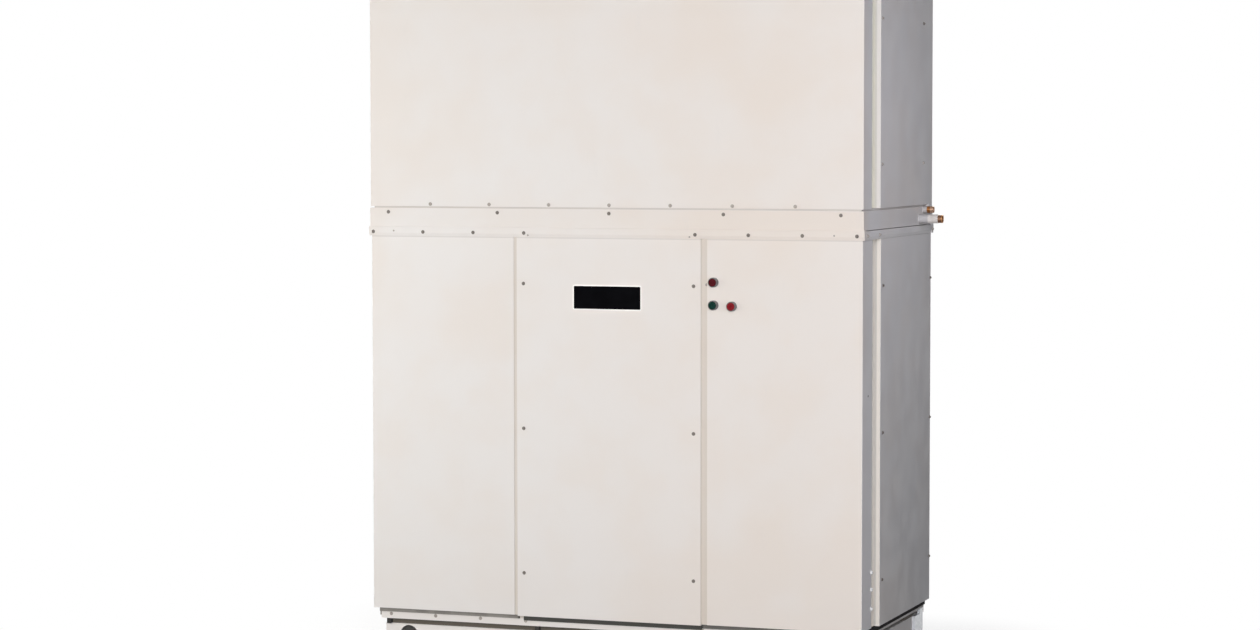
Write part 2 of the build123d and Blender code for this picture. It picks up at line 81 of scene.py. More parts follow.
collar_flange_top = roof_top + collar_flange
pipe_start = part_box("water_pipe_stub")[0].x
pipe_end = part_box("water_pipe_stub")[1].x
sleeve_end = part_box("water_pipe_sleeve")[1].x

# Screw heads
washer_sides = 24
washer_radius = 0.0078
washer_taper = 0.9
washer_height = 0.0014
head_sides = 6
head_radius = 0.0052
head_height = 0.0045
head_chamfer = 0.0008
head_turn_step = 0.7

# Screw rows and columns
screw_pitch = 0.270
band_screw_pitch = 0.502
strip_screw_pitch = 0.231
skirt_screw_pitch = 0.2077
front_row_middle = -0.006
strip_run_middles = (-0.733, 0.7205)
skirt_run_middles = (-0.7075, 0.7075)
middle_panel_columns = (-0.392, 0.365)
lower_side_columns = (-0.244, 0.542)
upper_side_front_column = -0.276
upper_side_rear_column = 0.400
side_strip_places = (-0.517, -0.332, 0.546)
rear_panel_columns = (-1.040, -0.035, 0.035, 1.040)
upper_row_level = 1.9315
band_row_level = 1.897
strip_row_level = 1.8125
skirt_row_level = 0.1625
lower_panel_levels = (0.371, 0.986, 1.599)
upper_panel_low_level = 2.1025
upper_panel_high_level = 2.704
roof_screw_inset = 0.020
collar_screw_inset = 0.014
collar_screw_pitch_x = 0.130
collar_screw_pitch_y = 0.150

# Plugs and studs
corner_plug_radius = 0.009
corner_plug_y = -0.417
corner_plug_levels = (0.271, 0.352, 0.423)
corner_mark_radius = 0.005
corner_mark_y = -0.470
corner_mark_level = 1.156
joint_stud_radius = 0.006
joint_stud_x = 0.419
joint_stud_level = 1.6055
strip_plug_radius = 0.004
strip_plug_places = ((-0.984, 1.817), (-0.368, 1.803), (0.350, 1.803), (0.971, 1.814))

# Rubber pads in the base's gap
pad_width = 0.018
pad_set_back = 0.002
corner_pad_x = 1.032
corner_pad_depth = 0.073
inner_pad_x = 0.345
inner_pad_depth = 0.020

# Bare plate on the middle panel
plate_width = 0.296
plate_height = 0.096
plate_thickness = 0.003
plate_corner = 0.002
plate_centre = Vector((-0.0155, lower_face_y, 1.545))
rim_width = 0.003
rim_thickness = 0.0018

# Where the paint changes its tone, as the start and the end of each change
# Painted warm light: the front grows warmer towards the right, most so in the band and the strip
painted_warm_light_x = (-0.7, 1.0)
painted_warm_light_front_y = (-0.45, lower_face_y)
painted_warm_light_low_z = (1.79, 1.80)
painted_warm_light_high_z = (1.915, 1.905)
dust_z = (0.75, 0.15)
# Painted shadow under the strip
strip_shadow_line_z = (strip_bottom - 0.008, strip_bottom - 0.003)
# Painted light where the covers turn the corner, most so low down
turned_corner_x = (lower_side_x - 0.003, lower_side_x - 0.0005)
corner_painted_light_z = (1.7, 0.6)
# Painted shade on the lip in the joint under the fan section
joint_lip_z = (band_top, band_top + 0.0008)
# Painted shade on the side panels, darker low down and towards the back
side_painted_shade_z = (1.3, 0.3)
side_painted_shade_y = (-0.35, 0.5)

# How far from the pipe's start its paint, its browned ring and the sleeve's greyer paint reach
pipe_painted = 0.020
pipe_browned = 0.032
sleeve_greyed = 0.042

# Tones of the cabinet's own paint, and of the light and shade painted on it
cabinet_cool = (0.80, 0.77, 0.74)
cabinet_warm = (0.785, 0.715, 0.650)
cabinet_worn = (0.73, 0.70, 0.67)
strip_shadow_line_tone = (0.50, 0.47, 0.44)
corner_painted_light_tone = (0.92, 0.89, 0.87)
joint_lip_shade_tone = (0.63, 0.59, 0.555)
side_painted_shade_tone = (0.36, 0.38, 0.42)

# Surroundings
white = (1.0, 1.0, 1.0)
world_light = (0.006, 0.006, 0.008)
floor_size = 160.0
floor_bounce = (0.07, 0.07, 0.07)
floor_grey = 0.40
floor_glow = 0.62
# Painted shade: within these reaches of the rails the floor fades to black, and under the base it is black
floor_grey_reach = 0.02
floor_glow_reach = 0.04
floor_white_from = 0.12
floor_white_by = 0.8

# Camera, as found from the photograph's edges
photo_width = 1260
camera_focal_pixels = 3149.25
camera_sensor = 36.0
camera_place = Vector((4.51796, -12.88933, 2.22529))
camera_azimuth = math.radians(19.765)
camera_pitch_down = math.radians(3.277)
camera_roll = math.radians(-0.046)

# Directions that faces look in
forward = (0, -1, 0)
backward = (0, 1, 0)
upward = (0, 0, 1)


# Node helpers
class Nodes:
    """Adds and joins the nodes of one material or world."""

    def __init__(self, tree):
        self.tree = tree

    def add(self, kind, **settings):
        node = self.tree.nodes.new(kind)
        for key, value in settings.items():
            setattr(node, key, value)
        return node

    def join(self, source, socket):
        self.tree.links.new(source, socket)

    def fill(self, socket, value):
        """Gives a socket a number, a colour or another node's output."""
        if isinstance(value, (int, float)):
            socket.default_value = value
        elif isinstance(value, tuple):
            socket.default_value = (*value, 1.0)
        else:
            self.join(value, socket)

    def spread(self, value, low, high, to_low=0.0, to_high=1.0):
        """Maps a value smoothly from one range to another, and stops at its ends."""
        node = self.add("ShaderNodeMapRange", interpolation_type="SMOOTHSTEP")
        limits = (("From Min", low), ("From Max", high), ("To Min", to_low), ("To Max", to_high))
        for name, number in limits:
            node.inputs[name].default_value = number
        self.join(value, node.inputs["Value"])
        return node.outputs["Result"]

    def maths(self, operation, first, second=0.0):
        node = self.add("ShaderNodeMath", operation=operation)
        self.fill(node.inputs[0], first)
        self.fill(node.inputs[1], second)
        return node.outputs["Value"]

    def times(self, first, second):
        return self.maths("MULTIPLY", first, second)

    def vector(self, operation, first, second=(0.0, 0.0, 0.0)):
        """Vector maths between another node's output and a constant."""
        node = self.add("ShaderNodeVectorMath", operation=operation)
        self.join(first, node.inputs[0])
        node.inputs[1].default_value = second
        return node.outputs["Value" if operation == "LENGTH" else "Vector"]

    def mix(self, share, first, second):
        """A colour between two. Its sockets share their names with others, so they go by number."""
        node = self.add("ShaderNodeMix", data_type="RGBA")
        for number, value in ((0, share), (6, first), (7, second)):
            self.fill(node.inputs[number], value)
        return node.outputs[2]

    def mix_shaders(self, share, first, second):
        node = self.add("ShaderNodeMixShader")
        for number, value in enumerate((share, first, second)):
            self.join(value, node.inputs[number])
        return node.outputs["Shader"]


class Shade(Nodes):
    """One new material on its Principled shader, with helpers for its patterns and relief."""

    def __init__(self, name):
        self.material = bpy.data.materials.new(name)
        self.material.use_nodes = True
        super().__init__(self.material.node_tree)
        self.shader = self.tree.nodes["Principled BSDF"]
        self.place = self.add("ShaderNodeTexCoord").outputs["Object"]

    def axis(self, letter):
        node = self.add("ShaderNodeSeparateXYZ")
        self.join(self.place, node.inputs["Vector"])
        return node.outputs[letter]

    def outwards(self):
        """The distance from the cabinet's middle plane, the same on its left and its right."""
        return self.maths("ABSOLUTE", self.axis("X"))

    def stretched(self, factors):
        """The surface's place with each axis multiplied by a factor."""
        node = self.add("ShaderNodeMapping")
        node.inputs["Scale"].default_value = factors
        self.join(self.place, node.inputs["Vector"])
        return node.outputs["Vector"]

    def noise(self, scale, detail=2.0, roughness=0.5, place=None):
        """Noise with so many cells a metre."""
        node = self.add("ShaderNodeTexNoise")
        node.inputs["Scale"].default_value = scale
        node.inputs["Detail"].default_value = detail
        node.inputs["Roughness"].default_value = roughness
        self.join(place or self.place, node.inputs["Vector"])
        return node.outputs["Fac"]

    def bump(self, height, strength, distance, under=None):
        node = self.add("ShaderNodeBump")
        node.inputs["Strength"].default_value = strength
        node.inputs["Distance"].default_value = distance
        self.join(height, node.inputs["Height"])
        if under is not None:
            self.join(under, node.inputs["Normal"])
        return node.outputs["Normal"]

    def finish(self, colour, roughness, normal, **constants):
        """Joins what varies to the shader, and sets what is the same all over on its own sockets."""
        self.join(colour, self.shader.inputs["Base Color"])
        self.join(roughness, self.shader.inputs["Roughness"])
        self.join(normal, self.shader.inputs["Normal"])
        for name, value in constants.items():
            self.shader.inputs[name.replace("_", " ")].default_value = value
        return self.material


# Materials
def powder_coat(name, cool, warm, worn, gloss_low=0.40, gloss_high=0.52, marks=None):
    """Satin paint on sheet metal: soft blotches of warmer tone, faint handling marks, dust low down and a
    fine orange peel. As painted warm light, the front is a little warmer towards the right, most so in the
    band and the strip. Marks is a function that lays more tones over the paint: painted light and shade."""
    shade = Shade(name)
    blotches = shade.spread(shade.noise(1.3, detail=3.0, roughness=0.6), 0.42, 0.66, to_high=0.6)
    clouds = shade.spread(shade.noise(5.0), 0.35, 0.75, to_high=0.35)
    # Painted warm light on the front, growing towards the right and strongest in the band and the strip
    below_top = shade.spread(shade.axis("Z"), *painted_warm_light_high_z)
    in_band = shade.times(below_top, shade.spread(shade.axis("Z"), *painted_warm_light_low_z))
    across = shade.spread(shade.axis("X"), *painted_warm_light_x, to_high=0.5)
    across = shade.times(across, shade.maths("ADD", in_band, 1.0))
    painted_warm_light = shade.times(across, shade.spread(shade.axis("Y"), *painted_warm_light_front_y))
    blotches_and_warm_light = shade.maths("ADD", shade.maths("MAXIMUM", blotches, clouds), painted_warm_light)
    body = shade.mix(blotches_and_warm_light, cool, warm)
    rubs = shade.noise(7.0, detail=6.0, roughness=0.7, place=shade.stretched((1.0, 1.0, 0.25)))
    body = shade.mix(shade.spread(rubs, 0.60, 0.78, to_high=0.30), body, worn)
    dust = shade.times(shade.spread(shade.axis("Z"), *dust_z), shade.noise(3.0, detail=4.0))
    body = shade.mix(shade.times(dust, 0.35), body, worn)
    if marks is not None:
        body = marks(shade, body)
    gloss = shade.spread(shade.noise(9.0, detail=3.0), 0.3, 0.7, gloss_low, gloss_high)
    peel = shade.bump(shade.noise(420.0), 0.10, 0.0004)
    waves = shade.bump(shade.noise(3.2, detail=1.0), 0.25, 0.004, under=peel)
    return shade.finish(body, gloss, waves, Specular_IOR_Level=0.08)


def cabinet_coat(name, tint=white, marks=None):
    """The cabinet's own paint, with a tint where a piece was painted apart."""
    tones = (cabinet_cool, cabinet_warm, cabinet_worn)
    tinted = [tuple(part * share for part, share in zip(tone, tint)) for tone in tones]
    return powder_coat(name, *tinted, marks=marks)


def cover_painted_light_and_shade(shade, body):
    """A painted shadow line under the strip. Where the covers turn the corner, painted light makes them
    paler, most so low down.
    """
    line = shade.spread(shade.axis("Z"), *strip_shadow_line_z, to_high=0.35)
    body = shade.mix(line, body, strip_shadow_line_tone)
    turned = shade.spread(shade.outwards(), *turned_corner_x)
    share = shade.times(turned, shade.spread(shade.axis("Z"), *corner_painted_light_z, to_high=0.8))
    return shade.mix(share, body, corner_painted_light_tone)


def joint_painted_shade(shade, body):
    """Painted shade on the lip behind the joint under the fan section."""
    return shade.mix(shade.spread(shade.axis("Z"), *joint_lip_z), body, joint_lip_shade_tone)


def side_painted_light_and_shade(node, inner_shade_tone, outer_highlight_tone):
    """Painted shade on a side panel, low down and towards the back, and a front edge in two tones: a
    painted highlight on its outer part and painted shade on its inner part.
    """
    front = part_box(node)[0].y
    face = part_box(node)[1].x

    def marks(shade, body):
        low_down = shade.spread(shade.axis("Z"), *side_painted_shade_z)
        painted_side_shade = shade.times(low_down, shade.spread(shade.axis("Y"), *side_painted_shade_y))
        body = shade.mix(shade.times(painted_side_shade, 0.30), body, side_painted_shade_tone)
        # The front edge: a painted highlight on its outer part and painted shade on its inner part
        outer = shade.spread(shade.outwards(), face - 0.018, face - 0.015)
        edge = shade.spread(shade.axis("Y"), front + 0.0015, front + 0.0005)
        return shade.mix(edge, body, shade.mix(outer, inner_shade_tone, outer_highlight_tone))

    return marks


def plated_sheet(name, light, dark, gloss=0.42):
    """Zinc coated sheet with its spangle."""
    shade = Shade(name)
    crystals = shade.add("ShaderNodeTexVoronoi")
    crystals.inputs["Scale"].default_value = 70.0
    shade.join(shade.place, crystals.inputs["Vector"])
    spangle = shade.spread(crystals.outputs["Distance"], 0.0, 0.8)
    film = shade.noise(4.0, detail=4.0)
    colour = shade.mix(shade.times(spangle, film), light, dark)
    roughness = shade.spread(spangle, 0.0, 1.0, gloss - 0.04, gloss + 0.08)
    return shade.finish(colour, roughness, shade.bump(film, 0.08, 0.002), Metallic=0.75)


def turned_steel(name, colour, worn, gloss=0.3, metal=1.0):
    """Steel with the fine rings that a lathe leaves round the X axis."""
    shade = Shade(name)
    rings = shade.noise(30.0, detail=3.0, place=shade.stretched((14.0, 1.0, 1.0)))
    tint = shade.mix(shade.spread(rings, 0.35, 0.7), colour, worn)
    roughness = shade.spread(rings, 0.3, 0.7, gloss, gloss + 0.15)
    return shade.finish(tint, roughness, shade.bump(rings, 0.05, 0.0005), Metallic=metal)


def pleated_media(name):
    """Card frame and soft synthetic media, told apart by how far they lie from the filter's middle plane.
    The media are dusty, and painted shade darkens the pleats' valleys."""
    shade = Shade(name)
    front, back = (corner.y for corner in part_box("air_filters"))
    middle = (front + back) / 2
    depth = shade.maths("ABSOLUTE", shade.maths("SUBTRACT", shade.axis("Y"), middle))
    card_share = shade.spread(depth, back - middle - 0.004, back - middle - 0.003)
    # Painted shade in the pleats' valleys
    valley_shade = shade.spread(shade.axis("Y"), back - 0.006, back - 0.040, to_high=0.45)
    fibre = shade.noise(900.0, detail=3.0, roughness=0.8)
    dust = shade.spread(shade.noise(11.0, detail=5.0), 0.4, 0.75)
    tint = shade.mix(fibre, (0.66, 0.68, 0.67), (0.82, 0.83, 0.81))
    tint = shade.mix(shade.times(dust, 0.18), tint, (0.45, 0.44, 0.41))
    tint = shade.mix(valley_shade, tint, (0.40, 0.40, 0.38))
    tint = shade.mix(card_share, tint, (0.63, 0.58, 0.49))
    roughness = shade.spread(fibre, 0.0, 1.0, 0.85, 0.97)
    return shade.finish(tint, roughness, shade.bump(fibre, 0.5, 0.001))


def clear_lens(name, deep, bright):
    """A coloured lens of uneven depth, with a faintly ridged face."""
    shade = Shade(name)
    depth = shade.spread(shade.noise(90.0), 0.3, 0.7)
    roughness = shade.spread(shade.noise(160.0), 0.3, 0.7, 0.2, 0.3)
    ridges = shade.bump(shade.noise(220.0, detail=1.0), 0.15, 0.0005)
    return shade.finish(shade.mix(depth, deep, bright), roughness, ridges, Specular_IOR_Level=0.06)


def copper_tube(name, painted_to, browned_to):
    """Copper, painted where it leaves the cabinet, with a browned ring where the paint ends. Past the
    sleeve's end it is darker, partly patina and partly painted shade, and its cut end is bright."""
    shade = Shade(name)
    along = shade.axis("X")
    stain = shade.noise(60.0, detail=4.0, roughness=0.7)
    bare = shade.mix(shade.spread(stain, 0.4, 0.7), (0.62, 0.42, 0.30), (0.42, 0.22, 0.13))
    bare = shade.mix(shade.spread(along, browned_to, browned_to + 0.003), (0.40, 0.16, 0.05), bare)
    # Past the sleeve's end: partly patina and partly painted shade
    patina_and_shade_past_sleeve = shade.spread(along, sleeve_end - 0.010, sleeve_end - 0.006)
    bare = shade.mix(patina_and_shade_past_sleeve, bare, (0.24, 0.13, 0.08))
    cut_end = shade.spread(along, pipe_end - 0.004, pipe_end - 0.002)
    bare = shade.mix(cut_end, bare, (0.62, 0.30, 0.12))
    ragged = shade.maths("ADD", along, shade.times(stain, 0.004))
    bare_share = shade.spread(ragged, painted_to, painted_to + 0.003)
    colour = shade.mix(bare_share, (0.50, 0.47, 0.45), bare)
    roughness = shade.spread(stain, 0.3, 0.7, 0.32, 0.5)
    shade.join(shade.times(bare_share, 0.9), shade.shader.inputs["Metallic"])
    return shade.finish(colour, roughness, shade.bump(stain, 0.1, 0.001))


def sleeve_paint(name, grey_to):
    """Off-white paint on the pipe sleeve, greyer where it leaves the cabinet."""
    shade = Shade(name)
    scuffs = shade.noise(40.0, detail=5.0, roughness=0.7)
    clean = shade.mix(shade.spread(scuffs, 0.35, 0.7), (0.80, 0.75, 0.70), (0.66, 0.61, 0.56))
    share = shade.spread(shade.axis("X"), grey_to - 0.004, grey_to + 0.004)
    colour = shade.mix(share, (0.52, 0.50, 0.49), clean)
    roughness = shade.spread(scuffs, 0.3, 0.7, 0.45, 0.6)
    return shade.finish(colour, roughness, shade.bump(scuffs, 0.1, 0.001), Specular_IOR_Level=0.2)


def dull_black(name, deep, pale, shine, gloss=0.45):
    """Dark paint or rubber with a faint bloom."""
    shade = Shade(name)
    fog = shade.noise(14.0, detail=4.0)
    colour = shade.mix(shade.spread(fog, 0.3, 0.7), deep, pale)
    roughness = shade.spread(fog, 0.3, 0.7, gloss, gloss + 0.15)
    peel = shade.bump(shade.noise(300.0), 0.05, 0.0003)
    return shade.finish(colour, roughness, peel, Specular_IOR_Level=shine)


def seal_foam(name, front, front_worn, middle, side):
    """Foam seal, faded to grey along the front. It is darker under the middle panel and darkest under the
    right side: painted shade for the gap under the panels."""
    shade = Shade(name)
    fading = shade.spread(shade.noise(18.0, detail=4.0), 0.3, 0.7)
    left_end, right_end = (corner.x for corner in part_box("front_panel_middle"))
    across = shade.axis("X")
    from_left = shade.spread(across, left_end - 0.01, left_end)
    to_right = shade.spread(across, right_end + 0.01, right_end, to_low=0.6)
    colour = shade.mix(shade.times(from_left, to_right), shade.mix(fading, front, front_worn), middle)
    at_side = shade.spread(across, skirt_side_x - 0.004, skirt_side_x + 0.004)
    colour = shade.mix(at_side, colour, side)
    roughness = shade.spread(fading, 0.0, 1.0, 0.8, 0.92)
    pores = shade.bump(shade.noise(700.0), 0.3, 0.0005)
    return shade.finish(colour, roughness, pores, Specular_IOR_Level=0.04)


materials = {
    "cabinet_paint": cabinet_coat("cabinet_paint"),
    "cover_paint": cabinet_coat("cover_paint", marks=cover_painted_light_and_shade),
    "band_paint": cabinet_coat("band_paint", tint=(0.99, 0.985, 0.98), marks=joint_painted_shade),
    "lower_side_paint": cabinet_coat(
        "lower_side_paint",
        marks=side_painted_light_and_shade("lower_side_panel_right", (0.73, 0.685, 0.61), (0.91, 0.84, 0.74)),
    ),
    "upper_side_paint": cabinet_coat(
        "upper_side_paint",
        marks=side_painted_light_and_shade("upper_side_panel_right", (0.76, 0.72, 0.64), (0.85, 0.80, 0.74)),
    ),
    "lower_post_paint": cabinet_coat("lower_post_paint", tint=(0.98, 0.965, 0.91)),
    "upper_post_paint": cabinet_coat("upper_post_paint", tint=(1.01, 1.02, 0.92)),
    # Darker than the cabinet's paint, as painted shade in the recessed joints
    "recess_paint": powder_coat(
        "recess_paint",
        cool=(0.69, 0.64, 0.58), warm=(0.67, 0.605, 0.535), worn=(0.57, 0.515, 0.45),
    ),
    "base_paint": powder_coat(
        "base_paint",
        cool=(0.81, 0.77, 0.735), warm=(0.78, 0.735, 0.695), worn=(0.66, 0.62, 0.58),
        gloss_low=0.45, gloss_high=0.6,
    ),
    # Brown primer, darkened as painted shade for the gap under the skirt
    "base_primer": powder_coat(
        "base_primer",
        cool=(0.135, 0.12, 0.10), warm=(0.115, 0.10, 0.08), worn=(0.095, 0.08, 0.065),
        gloss_low=0.6, gloss_high=0.75,
    ),
    "plug_white": powder_coat(
        "plug_white",
        cool=(0.94, 0.93, 0.91), warm=(0.93, 0.91, 0.88), worn=(0.88, 0.86, 0.84),
    ),
    # The seal's darker middle and side tones are painted shade in the gap under the panels
    "seal_rubber": seal_foam(
        "seal_rubber",
        front=(0.245, 0.231, 0.210), front_worn=(0.315, 0.297, 0.272),
        middle=(0.080, 0.079, 0.071), side=(0.040, 0.038, 0.037),
    ),
    "dark_pad": dull_black(
        "dark_pad", deep=(0.045, 0.043, 0.041), pale=(0.070, 0.066, 0.062), shine=0.05, gloss=0.7
    ),
    "plate_black": dull_black(
        "plate_black", deep=(0.0020, 0.0020, 0.0026), pale=(0.0035, 0.0035, 0.0045), shine=0.01
    ),
    "plate_rim": plated_sheet("plate_rim", (0.86, 0.85, 0.84), (0.78, 0.77, 0.76), gloss=0.35),
    "galvanised": plated_sheet("galvanised", (0.66, 0.67, 0.68), (0.46, 0.48, 0.50)),
    "shaft_steel": turned_steel("shaft_steel", (0.52, 0.52, 0.53), (0.36, 0.35, 0.34)),
    "bezel_metal": turned_steel(
        "bezel_metal", (0.17, 0.155, 0.155), (0.12, 0.11, 0.11), gloss=0.4, metal=0.4
    ),
    "screw_steel": turned_steel(
        "screw_steel", (0.20, 0.175, 0.155), (0.13, 0.11, 0.095), gloss=0.5, metal=0.3
    ),
    "screw_pale": turned_steel(
        "screw_pale", (0.42, 0.38, 0.34), (0.30, 0.27, 0.24), gloss=0.5, metal=0.3
    ),
    "filter_media": pleated_media("filter_media"),
    "lens_dark_red": clear_lens("lens_dark_red", (0.065, 0.004, 0.007), (0.10, 0.007, 0.013)),
    # Brighter than the dark red lens: painted glow of the lit pilot light
    "lens_red": clear_lens("lens_red", (0.17, 0.006, 0.011), (0.25, 0.012, 0.018)),
    "lens_green": clear_lens("lens_green", (0.002, 0.022, 0.016), (0.005, 0.040, 0.031)),
    "copper": copper_tube("copper", pipe_start + pipe_painted, pipe_start + pipe_browned),
    "pipe_paint": sleeve_paint("pipe_paint", pipe_start + sleeve_greyed),
}

# Each node wears its slot's material, except the posts, whose paint differs a little from the rest, and
# the covers, band and side panels, whose paint carries painted light and shade
paint_of = {row["node"]: row["material_slot"] for row in frame["record"]["subparts"]}
paint_of.update({
    "front_panel_left": "cover_paint",
    "front_panel_middle": "cover_paint",
    "control_cover": "cover_paint",
    "section_band": "band_paint",
    "lower_side_panel_left": "lower_side_paint",
    "lower_side_panel_right": "lower_side_paint",
    "upper_side_panel_left": "upper_side_paint",
    "upper_side_panel_right": "upper_side_paint",
    "lower_front_posts": "lower_post_paint",
    "upper_front_posts": "upper_post_paint",
})
for name, node in frame["nodes"].items():
    node.data.materials.clear()
    node.data.materials.append(materials[paint_of[name]])


# Pieces
def mesh_piece(name, mesh, material):
    """Turns a bmesh into a piece that rides on the cabinet."""
    data = bpy.data.meshes.new(name)
    mesh.to_mesh(data)
    mesh.free()
    data.materials.append(materials[material])
    piece = bpy.data.objects.new(name, data)
    bpy.context.scene.collection.objects.link(piece)
    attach(piece, "root")


def facing(normal):
    """A turn that takes +Z to a direction."""
    return Vector(normal).to_track_quat("Z", "Y").to_matrix().to_4x4()


def spaced(middle, pitch, count):
    """Places at one pitch, as many on each side of a middle."""
    return [middle + (step - (count - 1) / 2) * pitch for step in range(count)]


def add_screw(mesh, place, turn, angle):
    """One hexagonal screw head on its washer, standing on a face."""
    seat = Matrix.Translation(place) @ turn @ Matrix.Rotation(angle, 4, "Z")
    chamfer_start = washer_height + head_height - head_chamfer
    stack = (
        (washer_sides, washer_radius, washer_radius * washer_taper, 0.0, washer_height),
        (head_sides, head_radius, head_radius, washer_height, head_height - head_chamfer),
        (head_sides, head_radius, head_radius - head_chamfer, chamfer_start, head_chamfer),
    )
    for sides, low_radius, high_radius, start, depth in stack:
        bmesh.ops.create_cone(
            mesh, cap_ends=True, segments=sides, radius1=low_radius, radius2=high_radius, depth=depth,
            matrix=seat @ Matrix.Translation((0, 0, start + depth / 2)),
        )


def screw_row(name, places, normal, material):
    """Screws at a list of places on faces that look one way, each turned differently."""
    mesh = bmesh.new()
    turn = facing(normal)
    for count, place in enumerate(places):
        add_screw(mesh, Vector(place), turn, head_turn_step * count)
    mesh_piece(name, mesh, material)


def front_screws():
    row = [(x, upper_face_y, upper_row_level) for x in spaced(front_row_middle, screw_pitch, 7)]
    screw_row("screws_upper_front", row, forward, "screw_pale")
    row = [(x, band_face_y, band_row_level) for x in spaced(front_row_middle, band_screw_pitch, 5)]
    screw_row("screws_band_front", row, forward, "screw_steel")
    runs = [x for middle in strip_run_middles for x in spaced(middle, strip_screw_pitch, 4)]
    row = [(x, strip_face_y, strip_row_level) for x in runs]
    screw_row("screws_strip_front", row, forward, "screw_steel")
    columns = [(x, lower_face_y, z) for x in middle_panel_columns for z in lower_panel_levels]
    screw_row("screws_middle_panel", columns, forward, "screw_steel")
    runs = [x for middle in skirt_run_middles for x in spaced(middle, skirt_screw_pitch, 4)]
    row = [(x, skirt_face_y, skirt_row_level) for x in runs]
    screw_row("screws_base_front", row, forward, "screw_pale")


def side_screws():
    """Dark heads on the compressor section, and pale ones on the strip and on most of the fan section."""
    for name, side in (("left", -1), ("right", 1)):
        lower_x = side * lower_side_x
        upper_x = side * upper_side_x
        dark = [(lower_x, y, z) for y in lower_side_columns for z in lower_panel_levels]
        dark.append((upper_x, upper_side_rear_column, upper_panel_high_level))
        pale = [
            (upper_x, upper_side_front_column, upper_panel_low_level),
            (upper_x, upper_side_rear_column, upper_panel_low_level),
            (upper_x, upper_side_front_column, upper_panel_high_level),
        ]
        pale += [(side * strip_side_x, y, strip_row_level) for y in side_strip_places]
        screw_row(f"screws_side_{name}", dark, (side, 0, 0), "screw_steel")
        screw_row(f"screws_side_pale_{name}", pale, (side, 0, 0), "screw_pale")


def back_screws():
    panels = [(x, rear_face_y, z) for x in rear_panel_columns for z in lower_panel_levels]
    strip = [(x, strip_rear_y, strip_row_level) for x in spaced(0.0, strip_screw_pitch, 9)]
    band = [(x, band_rear_y, band_row_level) for x in spaced(0.0, band_screw_pitch, 5)]
    skirt = [(x, skirt_rear_y, skirt_row_level) for x in spaced(0.0, skirt_screw_pitch, 10)]
    screw_row("screws_back", panels + strip + band + skirt, backward, "screw_steel")


def roof_screws():
    """Screws along the roof's edges, and a ring of them on each collar's flange."""
    edge_x = upper_side_x - roof_screw_inset
    edge_y = -upper_face_y - roof_screw_inset
    edges = [(x, side * edge_y, roof_top) for x in spaced(0.0, screw_pitch, 9) for side in (-1, 1)]
    edges += [(side * edge_x, y, roof_top) for y in spaced(0.0, screw_pitch, 3) for side in (-1, 1)]
    screw_row("screws_roof", edges, upward, "screw_pale")
    for name in ("left", "right"):
        low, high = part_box(f"duct_collar_{name}")
        xs = spaced((low.x + high.x) / 2, collar_screw_pitch_x, 4)
        ys = spaced((low.y + high.y) / 2, collar_screw_pitch_y, 4)
        end_xs = (low.x + collar_screw_inset, high.x - collar_screw_inset)
        end_ys = (low.y + collar_screw_inset, high.y - collar_screw_inset)
        ring = [(x, y, collar_flange_top) for x in xs for y in end_ys]
        ring += [(x, y, collar_flange_top) for y in ys for x in end_xs]
        screw_row(f"screws_collar_{name}", ring, upward, "screw_pale")


def bare_plate():
    """The plain dark plate on the middle panel, in a thin bright rim."""
    for name, grow, thickness, material in (
        ("bare_plate_rim", rim_width, rim_thickness, "plate_rim"),
        ("bare_plate", 0.0, plate_thickness, "plate_black"),
    ):
        mesh = bmesh.new()
        bmesh.ops.create_cube(mesh, size=1.0)
        size = Matrix.Diagonal((plate_width + 2 * grow, thickness, plate_height + 2 * grow, 1.0))
        shift = Matrix.Translation(plate_centre - Vector((0, thickness / 2, 0)))
        bmesh.ops.transform(mesh, matrix=shift @ size, verts=mesh.verts)
        edges = ((edge, edge.verts[0].co - edge.verts[1].co) for edge in mesh.edges)
        corners = [edge for edge, run in edges if abs(run.y) > thickness / 2]
        bmesh.ops.bevel(mesh, geom=corners, offset=plate_corner, segments=4, affect="EDGES")
        mesh_piece(name, mesh, material)


def studs(name, places, radius, material, rise=0.35):
    """Low round buttons at a list of places, each with the direction that it faces."""
    mesh = bmesh.new()
    for place, normal in places:
        turn = Matrix.Translation(place) @ facing(normal) @ Matrix.Diagonal((1, 1, rise, 1))
        bmesh.ops.create_uvsphere(mesh, u_segments=20, v_segments=10, radius=radius, matrix=turn)
    mesh_piece(name, mesh, material)


def small_studs():
    """Push-in plugs and a dark stud on each front corner's return, a stud in the joint beside the upper
    pilot light, and small plugs on the strip."""
    plugs = [
        ((side * lower_side_x, corner_plug_y, level), (side, 0, 0))
        for side in (-1, 1) for level in corner_plug_levels
    ]
    studs("corner_plugs", plugs, corner_plug_radius, "plug_white", rise=1.0)
    dark = [((side * lower_side_x, corner_mark_y, corner_mark_level), (side, 0, 0)) for side in (-1, 1)]
    studs("corner_marks", dark, corner_mark_radius, "screw_steel")
    in_joint = [((joint_stud_x, joint_face_y, joint_stud_level), forward)]
    studs("joint_stud", in_joint, joint_stud_radius, "screw_pale")
    on_strip = [((x, strip_face_y, z), forward) for x, z in strip_plug_places]
    studs("strip_plugs", on_strip, strip_plug_radius, "screw_pale")


